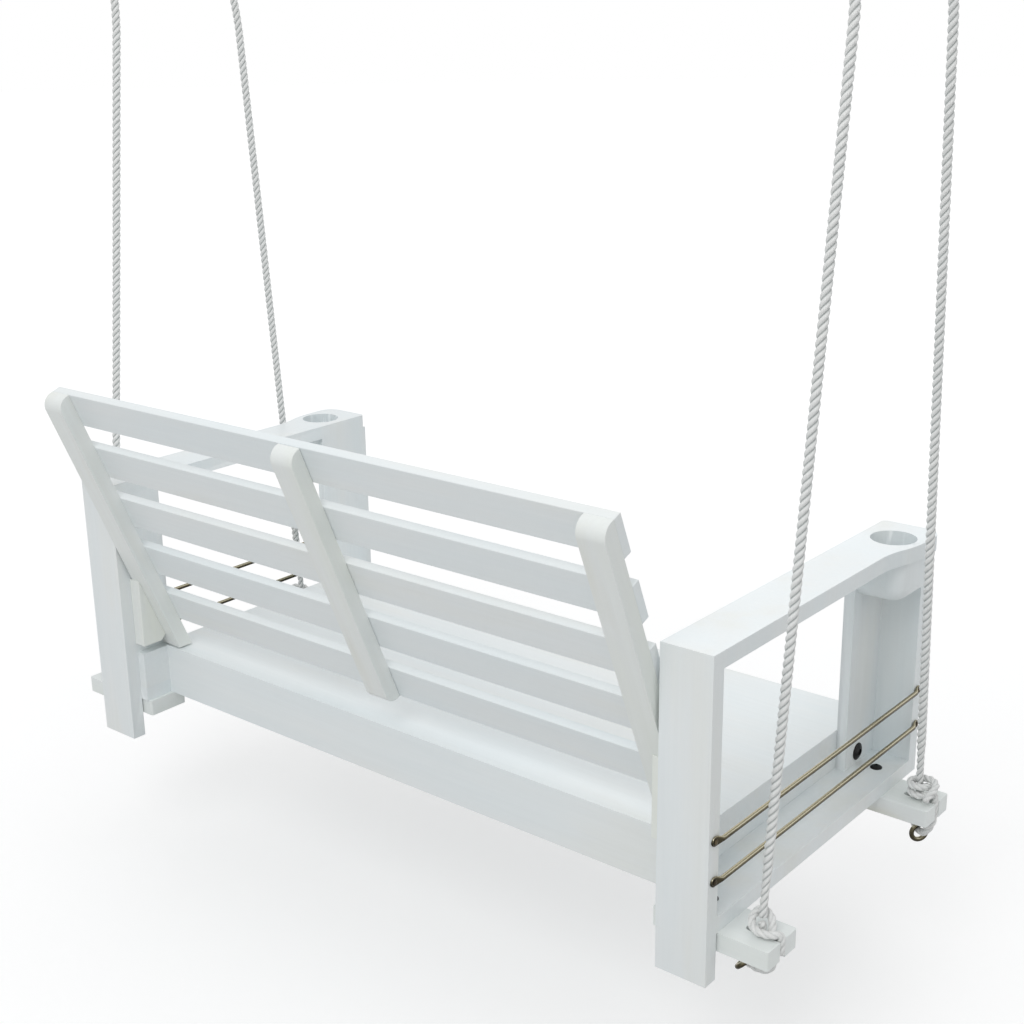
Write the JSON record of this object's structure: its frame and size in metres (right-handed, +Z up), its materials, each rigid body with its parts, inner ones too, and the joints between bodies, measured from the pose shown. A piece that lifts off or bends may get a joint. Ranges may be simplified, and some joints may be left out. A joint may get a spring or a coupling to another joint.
{
  "type": "porch swing seat",
  "caption": "Painted wooden two-seat porch swing with slatted back, board arms with cup holes and magazine racks, hung on ropes from ceiling screw hooks.",
  "frame": {"origin": "on the ceiling plane, midway between the four screw hooks", "axes": "+X along the bench to the sitter's right, +Y towards the front of the bench, +Z up out of the ceiling's underside along the hooks' screws"},
  "size_m": [1.5408, 0.7754, 1.5557],
  "materials": {
    "painted_wood": "satin white paint over visible grain",
    "rope": "off-white three-strand polyester rope",
    "bronze": "antique bronze plating",
    "steel": "zinc-plated",
    "black_steel": "black oxide"
  },
  "bodies": {
    "ceiling": {"ceiling_hooks": "steel"},
    "rear_ropes": {"rear_rope_left": "rope", "rear_rope_right": "rope", "rear_thimbles": "steel", "rear_ferrules": "steel"},
    "front_ropes": {"front_rope_left": "rope", "front_rope_right": "rope", "front_thimbles": "steel", "front_ferrules": "steel"},
    "seat": {"rear_hitch_left": "rope", "rear_hitch_right": "rope", "front_hitch_left": "rope", "front_hitch_right": "rope", "rear_leg_left": "painted_wood", "rear_leg_right": "painted_wood", "front_leg_left": "painted_wood", "front_leg_right": "painted_wood", "arm_top_left": "painted_wood", "arm_top_right": "painted_wood", "cup_block_left": "painted_wood", "cup_block_right": "painted_wood", "shelf_left": "painted_wood", "shelf_right": "painted_wood", "front_batten_left": "painted_wood", "front_batten_right": "painted_wood", "rear_batten_left": "painted_wood", "rear_batten_right": "painted_wood", "rear_block_left": "painted_wood", "rear_block_right": "painted_wood", "front_block_left": "painted_wood", "front_block_right": "painted_wood", "upper_rod_left": "bronze", "upper_rod_right": "bronze", "lower_rod_left": "bronze", "lower_rod_right": "bronze", "rod_screws": "bronze", "seat_side_left": "painted_wood", "seat_side_right": "painted_wood", "rear_rail": "painted_wood", "front_rail": "painted_wood", "seat_panel": "painted_wood", "seat_bearers": "painted_wood", "back_cleat_left": "painted_wood", "back_cleat_right": "painted_wood", "stile_left": "painted_wood", "stile_centre": "painted_wood", "stile_right": "painted_wood", "slat_1": "painted_wood", "slat_2": "painted_wood", "slat_3": "painted_wood", "slat_4": "painted_wood", "slat_5": "painted_wood", "batten_bolts": "black_steel", "block_bolts": "black_steel", "stile_bolts": "black_steel"},
    "rear_ring_left": {"rear_ring_left": "bronze"},
    "rear_ring_right": {"rear_ring_right": "bronze"},
    "front_ring_left": {"front_ring_left": "bronze"},
    "front_ring_right": {"front_ring_right": "bronze"}
  },
  "joints": [
    {"name": "swing", "type": "hinge", "parent": "ceiling", "child": "rear_ropes", "pos_m": [0, -0.132, -0.059], "axis": [1, 0, 0], "range_deg": [-12, 12]},
    {"name": "front_rope_swing", "type": "hinge", "parent": "ceiling", "child": "front_ropes", "pos_m": [0, 0.132, -0.059], "axis": [1, 0, 0], "range_deg": [-12.5, 12.5]},
    {"name": "seat_tilt", "type": "hinge", "parent": "rear_ropes", "child": "seat", "pos_m": [0, -0.2835, -1.391], "axis": [1, 0, 0], "range_deg": [-6.8, 6.8]},
    {"name": "front_ring_left_turn", "type": "hinge", "parent": "seat", "child": "front_ring_left", "pos_m": [-0.7384, 0.217, -1.475], "axis": [-0.809, -0.5878, 0], "range_deg": [-40, 40]},
    {"name": "rear_ring_left_turn", "type": "hinge", "parent": "seat", "child": "rear_ring_left", "pos_m": [-0.7108, -0.2835, -1.4696], "axis": [-0.7071, 0, -0.7071], "range_deg": [-40, 40]},
    {"name": "front_ring_right_turn", "type": "hinge", "parent": "seat", "child": "front_ring_right", "pos_m": [0.7384, 0.217, -1.475], "axis": [0.809, -0.5878, 0], "range_deg": [-40, 40]},
    {"name": "rear_ring_right_turn", "type": "hinge", "parent": "seat", "child": "rear_ring_right", "pos_m": [0.7108, -0.2835, -1.4696], "axis": [0.7071, 0, -0.7071], "range_deg": [-40, 40]}
  ],
  "couplings": [
    {"joint": "front_rope_swing", "follows": "swing", "ratio": 1},
    {"joint": "seat_tilt", "follows": "swing", "ratio": -0.5275}
  ]
}
